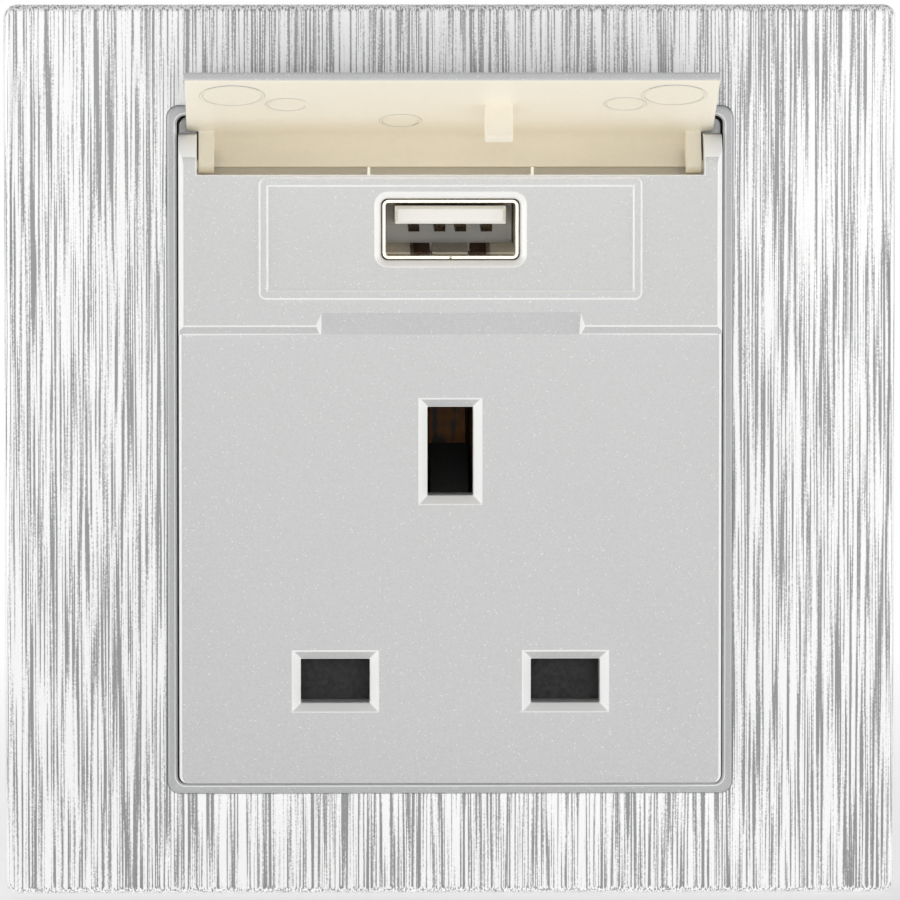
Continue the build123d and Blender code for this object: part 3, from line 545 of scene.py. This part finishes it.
class SOCKET_OT_plate(bpy.types.Operator):
    """Brushed panel on the frame with its plain silver bezel"""

    bl_idname = "socket.plate"
    bl_label = "Plate and bezel"

    def execute(self, context):
        finish = context.scene.socket_finishes
        edges = context.scene.socket_edges
        brushed = streaked(
            "vertical_brushing",
            finish.streak_light,
            finish.streak_dark,
            finish.streak_width,
            finish.streak_length,
            0.25,
            0.34,
        )
        rounded_copy("brushed_panel", "brushed_plate", edges.moulded, [brushed])
        # The bezel's rounded edges take the painted highlight
        rounded_copy(
            "front_frame", "bezel_frame", edges.moulded, [bezel_coat(), painted_edge_highlight()], highlight_slot=1
        )
        return {"FINISHED"}


class SOCKET_OT_module(bpy.types.Operator):
    """Silver module front with the pin holes and the USB plinth"""

    bl_idname = "socket.module"
    bl_label = "Module front"

    def execute(self, context):
        edges = context.scene.socket_edges
        piece = rounded_copy(
            "socket_face",
            "module_front",
            edges.moulded,
            [silver_coat(), painted_edge_highlight(), bare_cream()],
            highlight_slot=1,
        )
        hinge = Vector(joints["flap_hinge"]["pos_m"])
        ear_width = 0.0012
        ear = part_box("usb_flap")[1].x - ear_width
        port_low, port_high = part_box("usb_shell")
        port_rim = Vector((0.001, 0, 0.001))
        port_low, port_high = port_low - port_rim, port_high + port_rim
        # Slopes facing the side or top lamps, and slopes round the USB port, take the painted highlight; faces in
        # the hinge slot are bare cream
        for face in piece.data.polygons:
            spot = face.center - hinge
            in_slot = -0.0014 < spot.z < 0.0003 and spot.y > -0.0028 and abs(face.center.x) < ear
            lit_side = max(abs(face.normal.x), face.normal.z)
            by_port = port_low.z < face.center.z < port_high.z and abs(face.center.x) < port_high.x
            painted_highlight = -0.95 < face.normal.y < -0.25 and (lit_side > 0.3 or by_port)
            face.material_index = 2 if in_slot else int(painted_highlight)
        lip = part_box("usb_shell")[0].y
        rib_gap, rib_front, rib_back = 0.0001, 0.0003, 0.0004
        rib_z = hinge.z - edges.rib_height / 2 - rib_gap
        line = [(lip - rib_front, rib_z), (lip + rib_back, rib_z)]
        sizes = {"Width": edges.rib_width, "Sheet": edges.rib_height, "Bend": 0.0}
        half = edges.rib_spacing / 2
        settle(strips("slot_ribs", bare_cream(), (-half, half), line, sizes), "base", slots["socket_face"])
        return {"FINISHED"}


class SOCKET_OT_flap(bpy.types.Operator):
    """Flap with a silver outside and bare cream plastic inside"""

    bl_idname = "socket.flap"
    bl_label = "USB flap"

    def execute(self, context):
        edges = context.scene.socket_edges
        piece = rounded_copy("usb_flap", "port_flap", edges.moulded, [bare_cream(), silver_coat()], "flap")
        hinge = joints["flap_hinge"]
        axis = Vector(hinge["pos_m"])
        opening = radians(hinge["range_deg"][1])
        out = Vector((0, -cos(opening), sin(opening)))
        free = Vector((0, -sin(opening), -cos(opening)))
        reach = [(vertex.co - axis).dot(out) for vertex in piece.data.vertices]
        outside = max(reach)
        half_width = max(vertex.co.x for vertex in piece.data.vertices)
        for face in piece.data.polygons:
            spot = face.center - axis
            on_plate = spot.dot(out) > outside - 0.0004
            on_barrel = abs(Vector((0, spot.y, spot.z)).length - outside) < 0.0003
            at_side = abs(face.center.x) > half_width - 0.0002
            at_end = face.normal.dot(free) > 0.6 and spot.dot(free) > 0.012
            face.material_index = int(
                at_side or at_end or (face.normal.dot(spot) > 0 and (on_plate or on_barrel))
            )
        return {"FINISHED"}


class SOCKET_OT_usb_port(bpy.types.Operator):
    """Plated shell, insulator and bent contact strips of the USB port"""

    bl_idname = "socket.usb_port"
    bl_label = "USB port"

    def execute(self, context):
        finish = context.scene.socket_finishes
        edges = context.scene.socket_edges
        plated = streaked(
            "nickel_plate", finish.plated, tuple(c * 0.9 for c in finish.plated), 0.0003, 0.003, 0.7, 0.24
        )
        insulator = grained("tongue_moulding", finish.insulator, 0.0003, 0.04, 0.0, 0.35)
        rounded_copy("usb_shell", "port_shell", edges.sheet, [plated])
        rounded_copy("usb_tongue", "port_tongue", edges.moulded, [insulator])
        # Painted shade: the gold contact strips are darkened towards black
        gold = streaked("gold_flash", finish.gold, finish.painted_contact_shade, 0.0002, 0.002, 0.7, 0.3)
        low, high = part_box("usb_contacts")
        top = high.z - edges.contact_sheet / 2
        sag = low.z
        run = high.y - low.y
        line = [
            (high.y - 0.02 * run, top),
            (low.y + 0.28 * run, sag),
            (low.y + 0.08 * run, sag),
            (low.y + 0.01 * run, top),
        ]
        half = high.x - edges.contact_width / 2
        contacts = strips(
            "contact_strips",
            gold,
            (-half, -half / 3.5, half / 3.5, half),
            line,
            {"Width": edges.contact_width, "Sheet": edges.contact_sheet, "Bend": 0.0004},
        )
        settle(contacts, "base", slots["usb_contacts"], "usb_contacts")
        worn = grained("worn_copper", finish.copper, 0.0005, 0.6, 0.5, 0.38)
        dull = grained("dull_plate", finish.dull_plate, 0.0006, 0.2, 0.25, 0.4)
        low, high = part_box("usb_shell")
        floor_lift = 0.00045
        floor = low.z + floor_lift
        rise = edges.finger_rise
        foot, peak, tail = low.y + 0.0031, low.y + 0.0052, low.y + 0.0078
        line = [(foot, floor), (peak, floor + rise), (tail, floor + 0.4 * rise)]
        for name, material, places, width in (
            ("floor_ramps", dull, (-0.0052, 0, 0.0052), 0.0034),
            ("spring_fingers", worn, (-0.0029, 0.0029), 0.0019),
        ):
            sizes = {"Width": width, "Sheet": edges.contact_sheet, "Bend": 0.0008}
            settle(strips(name, material, places, line, sizes), "base", slots["usb_shell"])
        return {"FINISHED"}


class SOCKET_OT_shutter(bpy.types.Operator):
    """Dark shutter, its spring and the plate behind it"""

    bl_idname = "socket.shutter"
    bl_label = "Shutter"

    def execute(self, context):
        finish = context.scene.socket_finishes
        edges = context.scene.socket_edges
        dark = grained("shutter_moulding", finish.dark, 0.0003, 0.2, 0.0, 0.55)
        rounded_copy("shutter", "safety_shutter", edges.moulded, [dark], "shutter")
        zinc = tuple(finish.zinc)
        steel = streaked("spring_steel", zinc, tuple(c * 0.7 for c in zinc), 0.0002, 0.001, 0.9, 0.3)
        spring = rounded_copy("shutter_spring", "closing_spring", edges.sheet, [steel])
        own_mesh(spring)
        paint("inner_plate", dark)
        return {"FINISHED"}


class SOCKET_OT_contacts(bpy.types.Operator):
    """Brass clips, terminals and feed strips"""

    bl_idname = "socket.contacts"
    bl_label = "Contacts"

    def execute(self, context):
        edges = context.scene.socket_edges
        for node in ("live_contact", "neutral_contact", "earth_contact"):
            rounded_copy(node, node.replace("contact", "clip"), edges.sheet, [stamped_brass()])
        paint("feed_strips", stamped_brass())
        return {"FINISHED"}


class SOCKET_OT_rear(bpy.types.Operator):
    """White bracket and rear housing"""

    bl_idname = "socket.rear"
    bl_label = "Bracket and housing"

    def execute(self, context):
        edges = context.scene.socket_edges
        rounded_copy("mounting_plate", "wall_bracket", edges.moulded, [white_plastic()])
        rounded_copy("rear_housing", "rear_box", edges.moulded, [white_plastic()])
        return {"FINISHED"}


class SOCKET_OT_screws(bpy.types.Operator):
    """Housing screws with a cross recess and terminal screws with a slot"""

    bl_idname = "socket.screws"
    bl_label = "Screws"

    def execute(self, context):
        finish = context.scene.socket_finishes
        zinc = streaked(
            "zinc_plate", finish.zinc, tuple(c * 0.75 for c in finish.zinc), 0.0004, 0.002, 0.85, 0.3
        )
        tree = self.screw_tree(zinc)
        for node, name, head_height, head_radius, shank_radius, cross in (
            ("housing_screws", "cross_screws", 0.0018, 0.0024, 0.00125, 1.0),
            ("terminal_screws", "slot_screws", 0.002, 0.0027, 0.00175, 0.0),
        ):
            low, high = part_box(node)
            seat = high.y - head_height
            left, right = low.x + head_radius, high.x - head_radius
            if cross:
                rows = (low.z + head_radius, high.z - head_radius)
                points = [(x, seat, z) for x in (left, right) for z in rows]
            else:
                points = [(x, seat, (low.z + high.z) / 2) for x in (left, 0, right)]
            sizes = {
                "Head Radius": head_radius,
                "Head Height": head_height,
                "Shank Radius": shank_radius,
                "Shank Length": seat - low.y,
                "Cross": cross,
            }
            settle(grown(name, points, [], tree, sizes), "base", slots[node], node)
        return {"FINISHED"}

    def screw_tree(self, zinc):
        """Screw with a chamfered head, a cut recess and a shank, set on each point along Y."""
        tree = node_tree(
            "set_screws",
            "GeometryNodeTree",
            [
                ("INPUT", "Points", "NodeSocketGeometry", None),
                ("INPUT", "Head Radius", "NodeSocketFloat", 0.0025),
                ("INPUT", "Head Height", "NodeSocketFloat", 0.002),
                ("INPUT", "Shank Radius", "NodeSocketFloat", 0.0015),
                ("INPUT", "Shank Length", "NodeSocketFloat", 0.01),
                ("INPUT", "Cross", "NodeSocketFloat", 0.0),
                ("OUTPUT", "Screws", "NodeSocketGeometry", None),
            ],
        )
        given = add(tree, "NodeGroupInput").outputs

        def times(value, factor):
            return add(tree, "ShaderNodeMath", {0: value, 1: factor}, operation="MULTIPLY").outputs[0]

        def raised(geometry, height):
            offset = add(tree, "ShaderNodeCombineXYZ", {"Z": height}).outputs[0]
            return add(
                tree, "GeometryNodeTransform", {"Geometry": geometry, "Translation": offset}
            ).outputs[0]

        head = add(
            tree,
            "GeometryNodeMeshCylinder",
            {"Vertices": 40, "Radius": given["Head Radius"], "Depth": times(given["Head Height"], 0.7)},
        ).outputs["Mesh"]
        crown = add(
            tree,
            "GeometryNodeMeshCone",
            {
                "Vertices": 40,
                "Radius Bottom": given["Head Radius"],
                "Radius Top": times(given["Head Radius"], 0.8),
                "Depth": times(given["Head Height"], 0.3),
            },
        ).outputs["Mesh"]
        head = raised(head, times(given["Head Height"], 0.35))
        crown = raised(crown, times(given["Head Height"], 0.7))
        blank = add(tree, "GeometryNodeMeshBoolean", operation="UNION", solver="EXACT")
        tree.links.new(crown, blank.inputs["Mesh 2"])
        tree.links.new(head, blank.inputs["Mesh 2"])
        long_side = times(given["Head Radius"], 2.2)
        short_side = times(given["Head Radius"], 0.3)
        cross_side = add(
            tree,
            "ShaderNodeMath",
            {0: times(long_side, given["Cross"]), 1: short_side},
            operation="MAXIMUM",
        ).outputs[0]
        cutter = add(tree, "GeometryNodeMeshBoolean", operation="DIFFERENCE", solver="EXACT")
        tree.links.new(blank.outputs["Mesh"], cutter.inputs["Mesh 1"])
        for size in ({"X": long_side, "Y": short_side}, {"X": short_side, "Y": cross_side}):
            block = add(
                tree, "ShaderNodeCombineXYZ", {**size, "Z": given["Head Height"]}
            ).outputs[0]
            bar = add(tree, "GeometryNodeMeshCube", {"Size": block}).outputs["Mesh"]
            tree.links.new(raised(bar, times(given["Head Height"], 1.05)), cutter.inputs["Mesh 2"])
        shank = add(
            tree,
            "GeometryNodeMeshCylinder",
            {"Vertices": 32, "Radius": given["Shank Radius"], "Depth": given["Shank Length"]},
        ).outputs["Mesh"]
        shank = raised(shank, times(given["Shank Length"], -0.5))
        screw = add(tree, "GeometryNodeJoinGeometry")
        tree.links.new(cutter.outputs["Mesh"], screw.inputs[0])
        tree.links.new(shank, screw.inputs[0])
        placed = add(
            tree,
            "GeometryNodeInstanceOnPoints",
            {"Points": given["Points"], "Instance": screw.outputs[0], "Rotation": (-tau / 4, 0, 0)},
        ).outputs[0]
        solid = add(tree, "GeometryNodeRealizeInstances", {0: placed}).outputs[0]
        coated = add(tree, "GeometryNodeSetMaterial", {"Geometry": solid, "Material": zinc}).outputs[0]
        add(tree, "NodeGroupOutput", {"Screws": coated})
        return tree


class SOCKET_OT_supply(bpy.types.Operator):
    """Circuit board of the USB supply and the parts on it"""

    bl_idname = "socket.supply"
    bl_label = "USB supply"

    def execute(self, context):
        finish = context.scene.socket_finishes
        for nodes, name, shade, speck, glint, roughness in (
            (["usb_board"], "solder_mask", tuple(finish.mask), 0.0005, 0.2, 0.35),
            (["transformer_core"], "sintered_core", tone(66, 66, 70), 0.0002, 0.3, 0.6),
            (["transformer_winding"], "coil_tape", tone(226, 190, 60), 0.0008, 0.1, 0.3),
            (["input_capacitors", "output_capacitor"], "shrink_sleeve", tone(40, 44, 70), 0.0006, 0.1, 0.25),
            (["rectifier", "controller_chip"], "moulded_epoxy", tone(34, 34, 35), 0.0002, 0.3, 0.5),
            (["fuse_resistor"], "fuse_lacquer", tone(120, 150, 140), 0.0005, 0.15, 0.35),
        ):
            for node in nodes:
                paint(node, grained(name, shade, speck, glint, 0.0, roughness))
        return {"FINISHED"}


class SOCKET_OT_stage(bpy.types.Operator):
    """Floor, even light, lamps and the camera"""

    bl_idname = "socket.stage"
    bl_label = "Stage"

    def execute(self, context):
        stage = context.scene.socket_stage
        context.scene.view_settings.view_transform = "Standard"
        self.floor(stage.bounce)
        self.world(stage.ambient)
        for name, (place, size, power) in lamps.items():
            self.lamp(name, Vector(place), size, getattr(stage, power))
        self.camera(context, stage)
        return {"FINISHED"}

    def floor(self, bounce):
        height = cad_bounds[0][2] - floor_gap
        corners = [
            (x * floor_half, y * floor_half, height) for x, y in ((-1, -1), (1, -1), (1, 1), (-1, 1))
        ]
        mesh = bpy.data.meshes.new("floor")
        mesh.from_pydata(corners, [], [(0, 1, 2, 3)])
        floor = bpy.data.objects.new("floor", mesh)
        bpy.context.scene.collection.objects.link(floor)
        mesh.materials.append(self.floor_finish(bounce))

    def floor_finish(self, bounce):
        """Pale near the socket, where it takes the shadow, white further off, and lit from itself."""
        material = grained("pale_floor", tone(240, 240, 240), 0.004, 0.02, 0.0, 0.7)
        tree = material.node_tree
        body = tree.nodes["Principled BSDF"]
        place = add(tree, "ShaderNodeTexCoord").outputs["Object"]
        span = add(tree, "ShaderNodeVectorMath", {0: place}, operation="LENGTH").outputs["Value"]
        far = add(
            tree, "ShaderNodeMapRange", {"Value": span, "From Min": 0.05, "From Max": 0.3, "To Min": 0.6}
        ).outputs["Result"]
        path = add(tree, "ShaderNodeLightPath").outputs
        level = add(
            tree, "ShaderNodeMath", {0: far, 1: path["Is Diffuse Ray"]}, operation="MAXIMUM"
        ).outputs[0]
        power = add(
            tree, "ShaderNodeMapRange", {"Value": path["Is Diffuse Ray"], "To Min": 1.0, "To Max": bounce}
        ).outputs["Result"]
        glow = add(tree, "ShaderNodeEmission", {"Color": (1, 1, 1, 1), "Strength": power}).outputs[0]
        mix = add(tree, "ShaderNodeMixShader", {0: level, 1: body.outputs[0], 2: glow}).outputs[0]
        tree.links.new(mix, tree.nodes["Material Output"].inputs["Surface"])
        return material

    def world(self, ambient):
        """White where it is seen or mirrored, and an even lower light elsewhere."""
        world = bpy.data.worlds.new("studio")
        bpy.context.scene.world = world
        world.use_nodes = True
        tree = world.node_tree
        path = add(tree, "ShaderNodeLightPath").outputs
        seen = add(
            tree, "ShaderNodeMath", {0: path["Is Camera Ray"], 1: path["Is Glossy Ray"]}, operation="MAXIMUM"
        ).outputs[0]
        seen = add(
            tree, "ShaderNodeMath", {0: seen, 1: path["Is Transmission Ray"]}, operation="MAXIMUM"
        ).outputs[0]
        level = add(
            tree, "ShaderNodeMapRange", {"Value": seen, "To Min": ambient, "To Max": 1.0}
        ).outputs["Result"]
        tree.links.new(level, tree.nodes["Background"].inputs["Strength"])
        tree.nodes["Background"].inputs["Color"].default_value = (1, 1, 1, 1)

    def lamp(self, name, place, size, power):
        light = bpy.data.lights.new(name, "AREA")
        light.shape = "SQUARE"
        light.size = size
        light.energy = power
        lamp = bpy.data.objects.new(name, light)
        lamp.location = place
        lamp.rotation_euler = (-place).to_track_quat("-Z", "Y").to_euler()
        bpy.context.scene.collection.objects.link(lamp)

    def camera(self, context, stage):
        aim = Vector((0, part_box("brushed_panel")[0].y, stage.aim_height))
        away = Vector(
            (
                sin(stage.azimuth) * cos(stage.elevation),
                -cos(stage.azimuth) * cos(stage.elevation),
                sin(stage.elevation),
            )
        )
        lens = bpy.data.cameras.new("camera")
        lens.sensor_width = sensor
        lens.lens = sensor * stage.pixels_per_metre * stage.distance / picture_width
        lens.clip_start = 0.01
        camera = bpy.data.objects.new("camera", lens)
        camera.location = aim + away * stage.distance
        camera.rotation_euler = (-away).to_track_quat("-Z", "Y").to_euler()
        context.scene.collection.objects.link(camera)
        context.scene.camera = camera


operators = (
    SOCKET_OT_plate,
    SOCKET_OT_module,
    SOCKET_OT_flap,
    SOCKET_OT_usb_port,
    SOCKET_OT_shutter,
    SOCKET_OT_contacts,
    SOCKET_OT_rear,
    SOCKET_OT_screws,
    SOCKET_OT_supply,
    SOCKET_OT_stage,
)


class SOCKET_PT_panel(bpy.types.Panel):
    """Sizes, colours and steps of the socket"""

    bl_idname = "SOCKET_PT_panel"
    bl_label = "USB wall socket"
    bl_space_type = "VIEW_3D"
    bl_region_type = "UI"
    bl_category = "Socket"

    def draw(self, context):
        for group in (context.scene.socket_finishes, context.scene.socket_edges, context.scene.socket_stage):
            column = self.layout.column(align=True)
            for name in group.__annotations__:
                column.prop(group, name)
        steps = self.layout.column(align=True)
        for operator in operators:
            steps.operator(operator.bl_idname)


classes = (SocketFinishes, SocketEdges, SocketStage, *operators, SOCKET_PT_panel)


def register():
    for item in classes:
        bpy.utils.register_class(item)
    bpy.types.Scene.socket_finishes = PointerProperty(type=SocketFinishes)
    bpy.types.Scene.socket_edges = PointerProperty(type=SocketEdges)
    bpy.types.Scene.socket_stage = PointerProperty(type=SocketStage)


def unregister():
    del bpy.types.Scene.socket_stage
    del bpy.types.Scene.socket_edges
    del bpy.types.Scene.socket_finishes
    for item in reversed(classes):
        bpy.utils.unregister_class(item)


def main():
    register()
    for operator in operators:
        family, name = operator.bl_idname.split(".")
        getattr(getattr(bpy.ops, family), name)()


if __name__ == "__main__":
    main()
